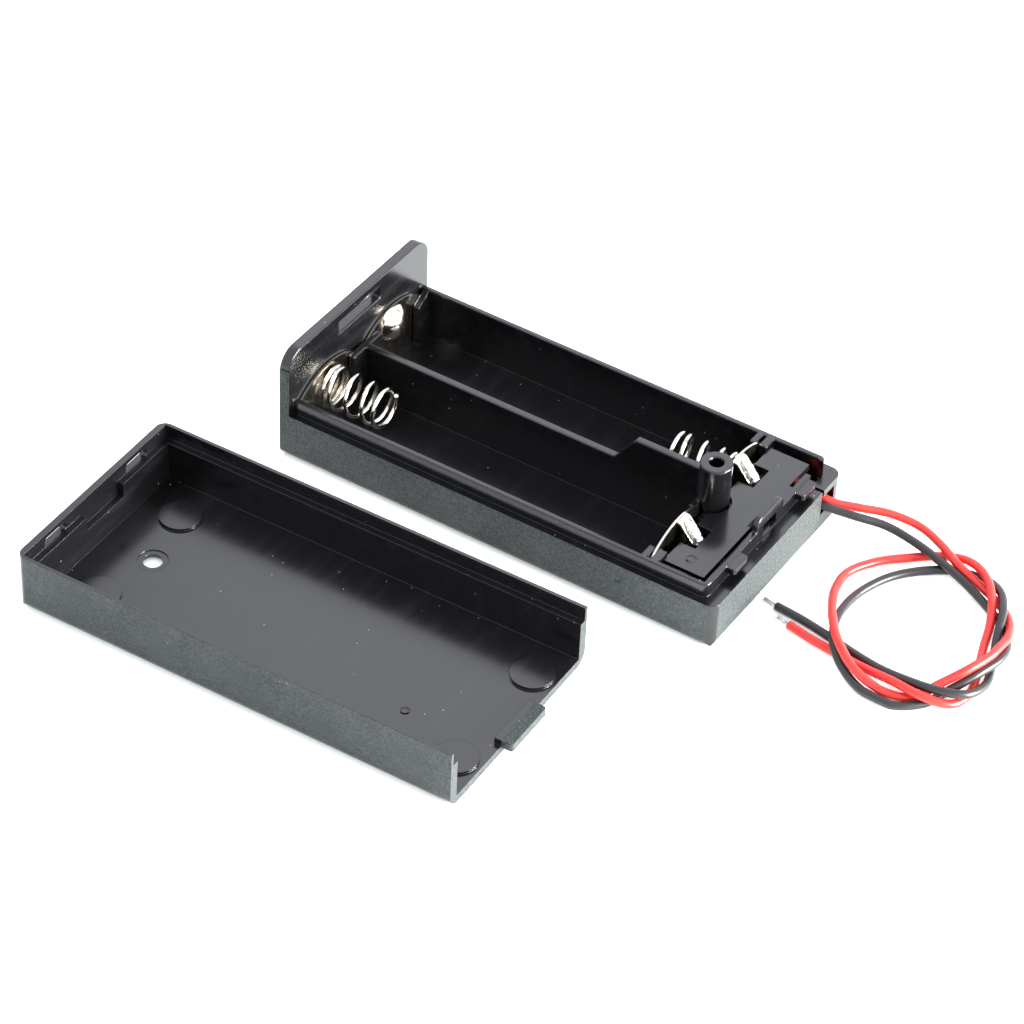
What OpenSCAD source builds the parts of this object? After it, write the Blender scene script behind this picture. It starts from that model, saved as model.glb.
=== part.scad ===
// Two-cell battery box with a slide switch, a lift-off cover and two flying leads.
// The box stands open on its base; the cover lies beside it, inside up.
// Millimetres, +Z up. X runs along the cells, the leads leave at +X.
// The origin is the centre of the box's underside.

/* [Cells] */
// Diameter of one round cell
cell_d = 14.5; // [13.8:0.1:15]
// Spare width in each bay beyond the cell
cell_play = 0.1; // [0.05:0.05:0.4]

/* [Box] */
// Overall length of the box
case_l = 69; // [66:0.5:74]
// Height of the box with its cover on, which is the height of the tall end wall
closed_h = 17.6; // [17:0.1:20]
// Height of the outer shoulder where the cover's rim lands
shoulder_h = 7.5; // [6.5:0.1:8.4]
// Height of the thin lip above the shoulder
lip_h = 2.1; // [1.6:0.1:2.4]
// Thickness of the lip along the sides
lip_t = 0.7; // [0.6:0.05:1]
// Width of the shoulder along the sides
side_step = 1.1; // [0.9:0.05:1.4]
// Width of the shoulder at the lead end
end_step = 2; // [1.6:0.1:2.4]
// Thickness of the lip at the lead end
end_lip_t = 0.8; // [0.7:0.05:1.1]
// Thickness of the tall end wall
tall_wall_t = 1.5; // [1.2:0.1:1.9]
// Thickness of the floor under the cells
floor_t = 1.5; // [1.2:0.1:1.8]
// Radius of the box's lower edges and upright corners
edge_r = 1.5; // [1:0.1:2]
// Radius of the tall wall's two top corners
wall_corner_r = 3; // [1.5:0.25:3.5]

/* [Divider and screw post] */
// Thickness of the wall between the two cells
divider_t = 1; // [0.8:0.1:1.4]
// Height of the high end of the divider, beside the post
divider_high = 13.9; // [12:0.1:15]
// Distance from the lead end to the screw post's axis
post_inset = 10.4; // [9.8:0.1:10.8]
// Outer diameter of the screw post
post_d = 4.4; // [4:0.1:4.6]
// Pilot hole for the cover screw
pilot_d = 2.1; // [1.6:0.1:2.4]
// Depth of the pilot hole
pilot_depth = 10; // [6:0.5:12]

/* [Contacts] */
// Thickness of the contact plates
contact_t = 0.3; // [0.2:0.05:0.4]
// Height of the contact lobes above the table
lobe_top = 11.1; // [10.4:0.1:11.8]
// Radius of the rounded lobe tops
lobe_r = 11; // [10:0.5:14]
// Height of the springs' axis above the table
spring_z = 7.3; // [7:0.1:8.2]
// Height of the button's axis above the table
button_z = 8.1; // [7.6:0.1:8.2]
// Wire diameter of the contact springs
spring_wire_d = 0.6; // [0.4:0.05:0.7]
// Mean coil diameter at the plate
spring_d = 5.9; // [5:0.1:6.5]
// Mean coil diameter at the free end
spring_tip_d = 5.3; // [4.4:0.1:6]
// Free length of the contact springs
spring_l = 9.6; // [8:0.1:11]
// Open turns of each spring
spring_turns = 2.8; // [2:0.2:4]
// Diameter of the pressed button
button_d = 5.4; // [4.5:0.1:6]
// How far the button stands out of its plate
button_h = 1.7; // [1.2:0.1:2]
// Width of the solder tabs
tab_w = 2.4; // [1.8:0.1:2.8]

/* [Switch] */
// Travel of the slide switch
switch_travel = 3; // [2:0.1:3]
// Length of the thumb piece along its travel
knob_l = 5; // [4:0.1:5.4]
// Width of the thumb piece
knob_w = 2.6; // [2:0.1:3]
// Depth of the finger recess in the underside
recess_depth = 1.3; // [0.8:0.1:1.6]
// Thickness of the web that the thumb piece passes through
web_t = 1.3; // [1:0.1:1.6]
// Thickness of the plate that closes the switch chamber
retainer_t = 1; // [0.8:0.1:1.4]

/* [Cover] */
// Thickness of the cover's floor
cover_floor_t = 1.2; // [1:0.1:1.5]
// Thickness of the cover's side walls below the rim
cover_wall_t = 1.5; // [1.3:0.1:1.8]
// Thickness of the thin rim along the cover's sides
cover_rim_t = 0.5; // [0.4:0.05:0.5]
// Thickness of the cover's end wall at the rim
cover_end_t = 0.95; // [0.8:0.05:1.1]
// How far the closed cover's outer faces lie inside the box's
cover_inset = 0.5; // [0.3:0.05:0.5]
// How far the tall wall stands above the closed cover
wall_proud = 0.6; // [0:0.1:1]
// Radius of the cover's long edges
cover_edge_r = 2; // [1:0.25:3]
// Hole for the cover screw
screw_hole_d = 2.7; // [2:0.1:3]
// Diameter of the round ejector pads
pad_d = 6; // [4:0.25:6.5]
// Place of the cover's outer corner beside the box, along X
cover_x = -44.4; // [-50:0.1:-35]
// Place of the cover's outer corner beside the box, along Y
cover_y = -62; // [-70:0.1:-55]
// Turn of the cover on the table, in degrees
cover_yaw = 1.3; // [0:0.1:4]

/* [Leads] */
// Outer diameter of the leads' insulation
lead_d = 1.2; // [1:0.05:1.2]
// Length of the bared strands at the free ends
strand_l = 2.2; // [1:0.1:4]

/* [Fits] */
// Gap between pieces that slide or lift off
slide_gap = 0.1; // [0.1:0.05:0.2]
// Gap round a contact plate in its slot
slot_gap = 0.15; // [0.1:0.05:0.25]
// Gap between the closed cover and the box
cover_gap = 0.1; // [0.05:0.05:0.2]

/* [Hidden] */
$fn = 48;
// Overlap that lets cutters and fused features pass each other
eps = 0.1;

// Colours of the mouldings and metals
moulding = [0.16, 0.17, 0.18];
plate_black = [0.24, 0.24, 0.26];
nickel = [0.83, 0.82, 0.78];
solder = [0.9, 0.9, 0.92];
red_pvc = [0.9, 0.22, 0.18];
black_pvc = [0.22, 0.22, 0.22];

// Plan of the box
bay_w = cell_d + cell_play;
inner_half = divider_t / 2 + bay_w;
case_w = 2 * (inner_half + lip_t + side_step);
bay_y = (divider_t + bay_w) / 2;
x_left = -case_l / 2;
x_right = case_l / 2;
x_wall = x_left + tall_wall_t;
lip_top = shoulder_h + lip_h;
x_lip_out = x_right - end_step;
x_lip_in = x_lip_out - end_lip_t;
lip_corner_r = 1;
post_x = x_right - post_inset;
post_play = 0.1;
closed_cover_top = closed_h - wall_proud;
post_top = closed_cover_top - cover_floor_t - post_play;
pilot_tip = 0.6;
pilot_tip_d = pilot_d / 2;

// Ribs that hold the contact plates upright, and the slots behind them
left_rib_t = 0.9;
left_rib_x = x_wall + contact_t + 2 * slot_gap;
right_rib_t = 0.85;
right_slot_w = contact_t + 2 * slot_gap;
back_rib_t = 1.1;
right_slot_x = post_x - post_d / 4;
right_rib_x = right_slot_x - right_rib_t;
back_rib_x = right_slot_x + right_slot_w;
chamber_x = back_rib_x + back_rib_t;
left_rib_l = 2.5;
right_rib_l = 2.2;
mid_rib_half = 3.4;
post_rib_half = post_d / 2 + 1;
rib_slope = 1.5;
rib_drop = 0.15;
bulkhead_h = 5;

// Divider profile
divider_start = left_rib_x + left_rib_t / 2;
ramp_back = 15.3;
ramp_l = 3.2;
ramp_foot_x = post_x - ramp_back;

// Slot for the cover's hook, snap nubs and snap tongue
hook_slot_w = 10;
hook_slot_h = 2.1;
hook_slot_drop = 1.4;
hook_slot_top = closed_h - hook_slot_drop;
nub_y = 9;
nub_w = 3.6;
nub_h = 0.9;
nub_drop = 0.2;
nub_r = 0.5;
nub_set_in = 0.2;
nub_reach = end_step - cover_inset - nub_set_in;
tongue_y = 0.5;
tongue_w = 6.8;
tongue_h = 1.9;
tongue_r = 1.2;
window_w = 3.4;
window_h = 1.9;
window_top = lip_top + 0.1;
// Way out for the leads: a window in the end wall, a slit above it, and an opening in the lip
lead_window_y = 13.1;
lead_window_w = 3.4;
lead_window_bottom = 3.5;
lead_window_top = shoulder_h - 1;
lead_slit_w = 0.5;
lead_window_y0 = lead_window_y - lead_window_w / 2;

// Switch chamber, from the floor up
chamber_floor = recess_depth + web_t;
post_back_x = post_x + post_d / 2;
switch_x = (post_back_x + x_lip_in) / 2;
carriage_play = 0.4;
knob_run_w = knob_w + 2 * carriage_play;
knob_run_l = knob_l + switch_travel + 2 * carriage_play;
recess_side = 0.8;
recess_end = 1.8;
recess_w = knob_run_w + 2 * recess_side;
recess_l = knob_run_l + 2 * recess_end;
recess_r = 1;
carriage_t = 1.4;
carriage_w = x_lip_in - post_back_x - 2 * carriage_play;
carriage_l = knob_run_l + switch_travel;
carriage_z = chamber_floor + slide_gap;
knob_bottom = 0.3;
grip_pitch = 0.9;
grip_d = 0.5;
bridge_t = 0.25;
bridge_foot_y = 3;
bridge_rise = 1.5;
bridge_w = 2.4;
terminal_z = carriage_z + carriage_t + bridge_rise + slide_gap;
terminal_t = 0.3;
terminal_w = 3;
foot_lap = 0.5;
break_gap = 0.7;
battery_terminal_in = bridge_foot_y - switch_travel / 2 - foot_lap;
lead_terminal_in = bridge_foot_y - switch_travel / 2 + break_gap;
boss_l = 1.4;
boss_play = 0.5;
boss_y = carriage_l / 2 + switch_travel / 2 + boss_play + boss_l / 2;
terminal_end = 1;
terminal_out = boss_y + boss_l / 2 + terminal_end;
ledge_l = 1.1;
ledge_w = 2.2;
retainer_drop = 0.6;
retainer_top = lip_top - retainer_drop;
retainer_bottom = retainer_top - retainer_t;
retainer_play = 0.1;
retainer_gap = 0.8;
retainer_side_gap = 1.2;
retainer_x0 = chamber_x + retainer_play;
retainer_x1 = x_lip_in - retainer_gap;
retainer_half = inner_half - retainer_side_gap;
post_clearance = 0.3;
notch_y = 7.5;
notch_w = 4.3;
notch_depth = 2.3;
notch_x = retainer_x0 + notch_depth;
clamp_setback = 2.1;
clamp_x = notch_x + clamp_setback;
clamp_l = 1.2;
// Part of the plate that reaches to the lip, and the small notch at its end
apron_l = 8.5;
apron_gap = 0.15;
latch_notch_l = 1.8;
latch_notch_w = 0.5;

// The slider rests at the end of its travel on the -Y side
slider_y = -switch_travel / 2;

// Contact plates
plate_side_gap = 0.4;
plate_half = inner_half - plate_side_gap;
plate_foot_h = 3;
left_plate_x = x_wall + slot_gap;
right_plate_x = right_slot_x + slot_gap;
right_plate_in = post_d / 2 + post_clearance;
tab_y = 7.4;
tab_end_gap = 0.9;
tab_reach = notch_x - tab_end_gap - right_plate_x;
tab_drop = 2.6;
tab_top = lobe_top - rib_drop;
tab_root = 1.5;
tab_rise = 0.1;
tab_crest = 0.4;
tab_shoulder = 0.9;
ear_gap = 0.75;
ear_x = notch_x - ear_gap;
ear_w = 1.8;
ear_drop = 0.6;

// Springs: closed turns lie just clear of each other
closed_pitch = spring_wire_d * 1.08;
closed_base = 1.5;
closed_tip = 1;
coil_turns = closed_base + spring_turns + closed_tip;
open_pitch = (spring_l - spring_wire_d - (closed_base + closed_tip) * closed_pitch) / spring_turns;
coil_sides = 8;
coil_steps = 14;

// Solder
solder_r = 0.85;
solder_top_r = 0.7;
solder_mid_r = 0.95;
joint_r = 0.75;
red_joint_r = 0.65;
solder_start = 1.3;
solder_mid = 1.9;
joint_run = 1.2;
joint_setback = 0.7;
black_joint = [
    right_plate_x + tab_reach + 0.1, tab_y + tab_w / 2, tab_top - tab_drop - joint_run
];
red_joint = [switch_x - joint_setback, terminal_out - joint_setback, terminal_z + terminal_t + joint_setback];

// Cover
cover_h = closed_cover_top - shoulder_h - cover_gap;
cover_w = case_w - 2 * cover_inset;
cover_l = x_right - cover_inset - x_wall - cover_gap;
cover_step_z = closed_cover_top - lip_top - cover_gap;
cover_ledge_w = 1;
cover_end_deep_t = cover_end_t + cover_ledge_w;
pocket_side_gap = 0.7;
pocket_depth_gap = 0.4;
cover_pocket_z = closed_cover_top - lip_top - tongue_h - pocket_depth_gap;
cover_pocket_w = tongue_w + 2 * pocket_side_gap;
slot_side_gap = 0.5;
cover_slot_w = nub_w + 2 * slot_side_gap;
cover_slot_h = cover_gap + nub_drop + nub_h + 2 * cover_gap;
cover_slot_r = 0.4;
hook_side_gap = 0.8;
hook_below_gap = 0.7;
hook_w = hook_slot_w - 2 * hook_side_gap;
hook_bottom = closed_cover_top - hook_slot_top + cover_gap;
hook_t = hook_slot_h - 2 * cover_gap - hook_below_gap;
hook_reach = tall_wall_t + cover_gap;
hook_root = 1.1;
hook_r = 0.4;
pad_h = 0.4;
pad_inset_x = 3.6;
pad_inset_y = 7.2;
pad_end_inset = 7.9;
screw_seat_d = screw_hole_d + 2;
screw_seat_depth = 0.5;
screw_ring_d = screw_hole_d + 1.5;
screw_ring_depth = 0.15;
screw_x = post_inset - cover_inset;

// Leads: route points chosen by hand, from past the solder joint to the cut end,
// with X measured from the box's lead end
lead_sides = 8;
red_points = [
    [-6.2, 10.8, 6.7], [-5.3, 12.2, 6.7], [-3.4, 13.4, 5.9], [0, 13.55, 4.65], [3.8, 15.2, 4.1],
    [7.46, 17.05, 3.6], [11.5, 18, 2.8], [15.5, 16.8, 2.5], [19.4, 14.9, 2], [23.5, 13.8, 1.1],
    [27.4, 12.1, 0.8], [30.3, 9, 1.6], [31.8, 5, 2.6], [31.9, 0.7, 3.3], [30.7, -3.3, 3.2],
    [28.3, -6.6, 1.8], [25.8, -10, 0.6], [22.1, -11.5, 1.1], [18, -11, 2.1], [14.4, -8.9, 3.2],
    [11.6, -5.6, 3.3], [9.5, -1.9, 2.4], [7.9, 2.1, 1.5], [7.5, 6.3, 0.9], [9.2, 10.2, 0.6],
    [12.2, 13.4, 0.6], [15.7, 16.1, 0.8], [19.7, 16.8, 1.6], [23.4, 14.8, 2.4], [26.2, 11.5, 2.3],
    [28.1, 7.7, 1.5], [29.3, 3.6, 0.8], [30.7, -0.6, 0.7], [31.8, -4.8, 0.6], [31, -8.7, 1.2],
    [27.4, -10.4, 2.1], [23.1, -9.9, 1.9], [18.8, -9, 1], [14.5, -8.3, 0.6], [10.2, -7.8, 0.6],
    [6, -7, 0.6]
];
black_points = [
    [-8.2, 9.9, 7.2], [-7.7, 11.3, 6.3], [-6.2, 12.3, 5], [-3.4, 12.1, 4.6], [-0.03, 12.12, 4.7],
    [4.1, 13.5, 3.95], [8, 15.3, 2.9], [12.3, 15.3, 2.3], [16.6, 14.3, 2], [20.8, 13.2, 1.4],
    [24.9, 11.6, 0.8], [28.7, 9.3, 0.6], [31.6, 6, 1], [32.6, 1.9, 2], [31.7, -2.3, 2.2],
    [29.6, -6.2, 1.1], [27.7, -10.1, 0.6], [24.4, -12.7, 0.6], [20.1, -12.6, 0.7], [16.1, -10.8, 1.3],
    [13, -7.8, 2], [11.2, -3.8, 1.7], [10.5, 0.6, 1.1], [10.9, 4.9, 0.7], [12.5, 9, 0.6],
    [15.3, 12.4, 0.6], [18.9, 15, 0.6], [23.1, 15.7, 0.8], [26.6, 13.4, 1.9], [28.8, 9.7, 2.4],
    [30.2, 5.6, 1.7], [31.7, 1.5, 0.7], [32.9, -2.7, 1], [32.3, -6.7, 2.1], [28.7, -8.8, 2.6],
    [24.4, -8.8, 2], [20.1, -8, 1.1], [15.8, -7, 0.7], [11.5, -6, 0.6], [7.1, -5.2, 0.6],
    [2.8, -4.8, 0.6]
];

function lead_route(joint, points) = concat([joint], [for (p = points) p + [x_right, 0, 0]]);
red_route = lead_route(red_joint, red_points);
black_route = lead_route(black_joint, black_points);

// ---------- shared shapes ----------

// Box from its low corner to its high corner
module block(low, high) translate(low) cube(high - low);

// The same box, given for the +Y side and mirrored to the side asked for
module side_block(low, high, side) mirror([0, side < 0 ? 1 : 0, 0]) block(low, high);

// Extrudes a shape drawn in (Y, Z) along X, from x0 to x1
module along_x(x0, x1) translate([x0, 0, 0]) rotate([90, 0, 90]) linear_extrude(x1 - x0) children();

// Extrudes a shape drawn in (X, Z) along Y, from y0 to y1
module along_y(y0, y1) translate([0, y1, 0]) rotate([90, 0, 0]) linear_extrude(y1 - y0) children();

// Rectangle from (x0, y0) to (x1, y1) whose corners at y0 are rounded by r_low and at y1 by r_high
module plate_outline(x0, x1, y0, y1, r_low, r_high) {
    translate([x0 + r_low, y0]) square([x1 - x0 - 2 * r_low, y1 - y0 - r_high]);
    translate([x0, y0 + r_low]) square([x1 - x0, y1 - y0 - r_low - r_high]);
    translate([x0 + r_high, y1 - r_high - eps]) square([x1 - x0 - 2 * r_high, r_high + eps]);
    for (x = [x0 + r_low, x1 - r_low])
        translate([x, y0 + r_low]) circle(r_low);
    for (x = [x0 + r_high, x1 - r_high])
        translate([x, y1 - r_high]) circle(r_high);
}

// Rectangle from x0 to x1 with only its two corners at x1 rounded
module nose_outline(x0, x1, half, r) {
    translate([x0, -half]) square([x1 - x0 - r, 2 * half]);
    translate([x0, r - half]) square([x1 - x0, 2 * (half - r)]);
    for (side = [-1, 1])
        translate([x1 - r, side * (half - r)]) circle(r);
}

// Moulded blank: flat at x0, with rounded upright corners at x1 and rounded lower edges
module moulded_blank(x0, x1, w, h, r_long, r_end) {
    intersection() {
        linear_extrude(h) nose_outline(x0, x1, w / 2, r_end);
        along_x(x0 - eps, x1 + eps) plate_outline(-w / 2, w / 2, 0, h + 1, r_long, eps);
        along_y(-w / 2 - eps, w / 2 + eps) union() {
            translate([x0 - eps, 0]) square([x1 - x0 + eps - r_end, h + 1]);
            translate([x0, r_end]) square([x1 - x0, h + 1 - r_end]);
            translate([x1 - r_end, r_end]) circle(r_end);
        }
    }
}

// Rings of a round bar swept along points, each ring kept level across its path
function unit(v) = v / norm(v);
function bar_heading(p, i) = unit(p[min(i + 1, len(p) - 1)] - p[max(i - 1, 0)]);
function bar_ring(p, i, r, sides) =
    let (t = bar_heading(p, i))
    let (across = unit(cross([0, 0, 1], t)))
    let (up = cross(t, across))
    [for (k = [0:sides - 1]) p[i] + r * (cos(360 * k / sides) * across + sin(360 * k / sides) * up)];

// Round bar swept along points as one closed polyhedron
module bar(p, r, sides) {
    n = len(p);
    rings = [for (i = [0:n - 1]) each bar_ring(p, i, r, sides)];
    walls = [
        for (i = [0:n - 2], k = [0:sides - 1])
            let (a = i * sides + k, b = i * sides + (k + 1) % sides)
            each [[a, b, a + sides], [b, b + sides, a + sides]]
    ];
    start_cap = [for (k = [sides - 1:-1:0]) k];
    end_cap = [for (k = [0:sides - 1]) (n - 1) * sides + k];
    polyhedron(rings, concat(walls, [start_cap, end_cap]));
}

// ---------- box ----------

// Outer walls, shoulder, lip and tall end wall, with the open inside
module tray_walls() {
    difference() {
        union() {
            moulded_blank(x_left, x_right, case_w, shoulder_h, edge_r, edge_r);
            translate([0, 0, shoulder_h - eps])
                linear_extrude(lip_h + eps)
                nose_outline(x_left + eps, x_lip_out, inner_half + lip_t, lip_corner_r);
            along_x(x_left, x_wall)
                plate_outline(-case_w / 2, case_w / 2, 0, closed_h, edge_r, wall_corner_r);
            along_x(x_lip_in, x_lip_out)
                translate([tongue_y, 0])
                plate_outline(-tongue_w / 2, tongue_w / 2, shoulder_h, lip_top + tongue_h, eps, tongue_r);
        }
        block([x_wall, -inner_half, floor_t], [chamber_x, inner_half, closed_h + eps]);
        block([chamber_x - eps, -inner_half, chamber_floor], [x_lip_in, inner_half, closed_h + eps]);
    }
}

// Divider between the cells, with its ramp up to the screw post
module divider() {
    along_y(-divider_t / 2, divider_t / 2) polygon([
        [divider_start, floor_t - eps], [post_x, floor_t - eps], [post_x, divider_high],
        [ramp_foot_x + ramp_l, divider_high], [ramp_foot_x, lip_top], [divider_start, lip_top]
    ]);
}

// Rib that stands on a side wall at the tall end, its top sloping down towards the cell
module sloped_rib(side) {
    y_wall = side * (inner_half + eps);
    y_tip = side * (inner_half - left_rib_l);
    top = lip_top - rib_drop;
    along_x(left_rib_x, left_rib_x + left_rib_t)
        polygon([[y_wall, floor_t - eps], [y_wall, top], [y_tip, top - rib_slope], [y_tip, floor_t - eps]]);
}

// Ribs and low bulkhead that hold the contact plates
module contact_ribs() {
    z = floor_t - eps;
    for (side = [-1, 1]) {
        sloped_rib(side);
        side_block([right_rib_x, inner_half - right_rib_l, z],
                   [right_rib_x + right_rib_t, inner_half + eps, lip_top], side);
        side_block([back_rib_x, inner_half - right_rib_l, z], [chamber_x, inner_half + eps, lip_top], side);
    }
    block([left_rib_x, -mid_rib_half, z], [left_rib_x + left_rib_t, mid_rib_half, lip_top]);
    block([right_rib_x, -post_rib_half, z], [right_rib_x + right_rib_t, post_rib_half, lip_top]);
    block([back_rib_x, -post_rib_half, z], [chamber_x, post_rib_half, retainer_bottom]);
    block([back_rib_x, -inner_half - eps, z], [chamber_x, inner_half + eps, bulkhead_h]);
}

// Ledges that carry the retainer plate, and bosses under the switch terminals
module chamber_supports() {
    z = chamber_floor - eps;
    for (side = [-1, 1]) {
        side_block([chamber_x - eps, inner_half - ledge_w, z],
                   [chamber_x + ledge_l, inner_half + eps, retainer_bottom], side);
        side_block([x_lip_in - ledge_l, boss_y - boss_l / 2, z],
                   [x_lip_in + eps, boss_y + boss_l / 2, retainer_bottom], side);
        side_block([switch_x - terminal_w / 2, boss_y - boss_l / 2, z],
                   [x_lip_in + eps, boss_y + boss_l / 2, terminal_z], side);
    }
}

// Rounded nub that snaps into the cover's end wall
module snap_nub(side) {
    translate([0, side * nub_y, lip_top - nub_drop - nub_h]) linear_extrude(nub_h)
        nose_outline(x_lip_out - eps, x_lip_out + nub_reach, nub_w / 2, nub_r);
}

// Finger recess in the underside, and the slot for the thumb piece
module switch_opening() {
    translate([switch_x, 0, -eps]) linear_extrude(recess_depth + eps)
        plate_outline(-recess_w / 2, recess_w / 2, -recess_l / 2, recess_l / 2, recess_r, recess_r);
    block([switch_x - knob_run_w / 2, -knob_run_l / 2, 0],
          [switch_x + knob_run_w / 2, knob_run_l / 2, chamber_floor + eps]);
}

// Window for the leads, the slit they are pressed in through, and the opening in the lip
module lead_way_out() {
    y0 = lead_window_y0;
    y1 = y0 + lead_window_w;
    block([x_lip_in - eps, y0, lead_window_bottom], [x_right + eps, y1, lead_window_top]);
    block([x_lip_out - eps, y0, lead_window_top - eps], [x_right + eps, y0 + lead_slit_w, shoulder_h + eps]);
    block([x_lip_in - eps, y0, lead_window_top - eps], [x_lip_out + eps, y1 + eps, lip_top + eps]);
}

module base_tray() color(moulding) difference() {
    union() {
        tray_walls();
        divider();
        contact_ribs();
        chamber_supports();
        for (side = [-1, 1]) snap_nub(side);
        translate([post_x, 0, floor_t - eps]) cylinder(d = post_d, h = post_top - floor_t + eps);
    }
    // pilot hole for the cover screw, with the tapered end that its core pin leaves
    translate([post_x, 0, post_top - pilot_depth]) {
        cylinder(d = pilot_d, h = pilot_depth + eps);
        translate([0, 0, -pilot_tip]) cylinder(d1 = pilot_tip_d, d2 = pilot_d, h = pilot_tip);
    }
    // slot in the tall wall for the cover's hook
    block([x_left - eps, -hook_slot_w / 2, hook_slot_top - hook_slot_h],
          [x_wall + eps, hook_slot_w / 2, hook_slot_top]);
    // window under the snap tongue
    block([x_lip_in - eps, tongue_y - window_w / 2, window_top - window_h],
          [x_lip_out + eps, tongue_y + window_w / 2, window_top]);
    lead_way_out();
    switch_opening();
}

// ---------- switch ----------

module switch_retainer_plate() color(plate_black) difference() {
    union() {
        block([retainer_x0, -retainer_half, retainer_bottom], [retainer_x1, retainer_half, retainer_top]);
        block([retainer_x1 - eps, 0, retainer_bottom], [x_lip_in - apron_gap, apron_l, retainer_top]);
        // ribs that press the terminals onto their bosses
        for (side = [-1, 1])
            side_block([clamp_x, boss_y - boss_l / 2, terminal_z + terminal_t],
                       [clamp_x + clamp_l, boss_y + boss_l / 2, retainer_bottom + eps], side);
    }
    // clearance round the screw post
    translate([post_x, 0, retainer_bottom - eps])
        cylinder(r = post_d / 2 + post_clearance, h = retainer_t + 2 * eps);
    // notches for the soldered tabs
    for (side = [-1, 1])
        side_block([retainer_x0 - eps, notch_y - notch_w / 2, retainer_bottom - eps],
                   [notch_x, notch_y + notch_w / 2, retainer_top + eps], side);
    // notch beside the snap tongue
    block([retainer_x1 - latch_notch_w, -latch_notch_l, retainer_bottom - eps],
          [retainer_x1 + eps, 0, retainer_top + eps]);
}

module switch_slider() color(moulding) translate([switch_x, slider_y, 0]) difference() {
    union() {
        block([-carriage_w / 2, -carriage_l / 2, carriage_z],
              [carriage_w / 2, carriage_l / 2, carriage_z + carriage_t]);
        block([-knob_w / 2, -knob_l / 2, knob_bottom], [knob_w / 2, knob_l / 2, carriage_z + eps]);
    }
    // grip grooves across the thumb piece
    for (i = [-2:2])
        translate([-knob_w / 2 - eps, i * grip_pitch, knob_bottom]) rotate([0, 90, 0])
            cylinder(d = grip_d, h = knob_w + 2 * eps, $fn = 24);
}

// Bowed strip that joins the two terminals when the slider is across
module switch_bridge_contact() color(nickel) translate([switch_x, slider_y, carriage_z + carriage_t]) {
    top = bridge_rise;
    foot = bridge_foot_y;
    t = bridge_t;
    outer = [
        [-foot - 0.5, top - 0.5], [-foot, top], [0.6 - foot, top], [-1, t],
        [1, t], [foot - 0.6, top], [foot, top], [foot + 0.5, top - 0.5]
    ];
    inner = [
        [foot + 0.3, top - 0.7], [foot - 0.1, top - t], [foot - 0.45, top - t], [1.2, 0],
        [-1.2, 0], [0.45 - foot, top - t], [0.1 - foot, top - t], [-foot - 0.3, top - 0.7]
    ];
    along_x(-bridge_w / 2, bridge_w / 2) polygon(concat(outer, inner));
}

// Fixed terminal on the battery side, with an ear up to the soldered tab
module switch_terminal_battery() color(nickel) {
    block([switch_x - terminal_w / 2, -terminal_out, terminal_z],
          [switch_x + terminal_w / 2, -battery_terminal_in, terminal_z + terminal_t]);
    block([ear_x, -tab_y - ear_w / 2, terminal_z], [switch_x, -tab_y + ear_w / 2, terminal_z + terminal_t]);
    block([ear_x, -tab_y - ear_w / 2, terminal_z],
          [ear_x + terminal_t, -tab_y + ear_w / 2, retainer_top - ear_drop]);
}

// Fixed terminal on the lead side
module switch_terminal_lead() color(nickel)
    block([switch_x - terminal_w / 2, lead_terminal_in, terminal_z],
          [switch_x + terminal_w / 2, terminal_out, terminal_z + terminal_t]);

// ---------- contacts ----------

// Outline of one contact lobe in (Y, Z), from the floor to its round top
module lobe_outline(y0, y1, centre) {
    intersection() {
        translate([y0, floor_t]) square([y1 - y0, lobe_top - floor_t + eps]);
        union() {
            translate([centre, lobe_top - lobe_r]) circle(lobe_r);
            translate([y0, floor_t - eps]) square([y1 - y0, plate_foot_h]);
        }
    }
}

// Button pressed out of the plate whose face is at x
module pressed_button(x) {
    r = button_d / 2;
    r_ball = (r * r + button_h * button_h) / (2 * button_h);
    translate([x, bay_y, button_z]) rotate([0, 90, 0]) rotate_extrude() intersection() {
        translate([0, button_h - r_ball]) difference() {
            circle(r_ball);
            circle(r_ball - contact_t);
        }
        translate([0, -contact_t]) square([r, button_h + contact_t + eps]);
    }
}

module end_bridge_contact() color(nickel) {
    difference() {
        along_x(left_plate_x, left_plate_x + contact_t) {
            lobe_outline(-plate_half, 0, -bay_y);
            lobe_outline(-eps, plate_half, bay_y);
        }
        translate([left_plate_x - eps, bay_y, button_z]) rotate([0, 90, 0])
            cylinder(r = button_d / 2 - contact_t, h = contact_t + 2 * eps);
    }
    pressed_button(left_plate_x + contact_t);
}

// Wire centre line of a spring that stands at z = 0, its first and last turns closed
function coil_radius(a) = (spring_d + (spring_tip_d - spring_d) * a / coil_turns) / 2;
function coil_z(a) =
    spring_wire_d / 2
    + min(a, closed_base) * closed_pitch
    + max(0, min(a - closed_base, spring_turns)) * open_pitch
    + max(0, a - closed_base - spring_turns) * closed_pitch;
coil_path = [
    for (i = [0:floor(coil_turns * coil_steps)])
        let (a = i / coil_steps)
        [coil_radius(a) * cos(360 * a), coil_radius(a) * sin(360 * a), coil_z(a)]
];

// Contact spring that stands on a plate face at x and points along dir
module contact_spring(x, y, dir) translate([x, y, spring_z]) rotate([0, dir * 90, 0])
    bar(coil_path, spring_wire_d / 2, coil_sides);

module end_bridge_spring() color(nickel) contact_spring(left_plate_x + contact_t, -bay_y, 1);

module negative_spring() color(nickel) contact_spring(right_plate_x, bay_y, -1);

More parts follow.
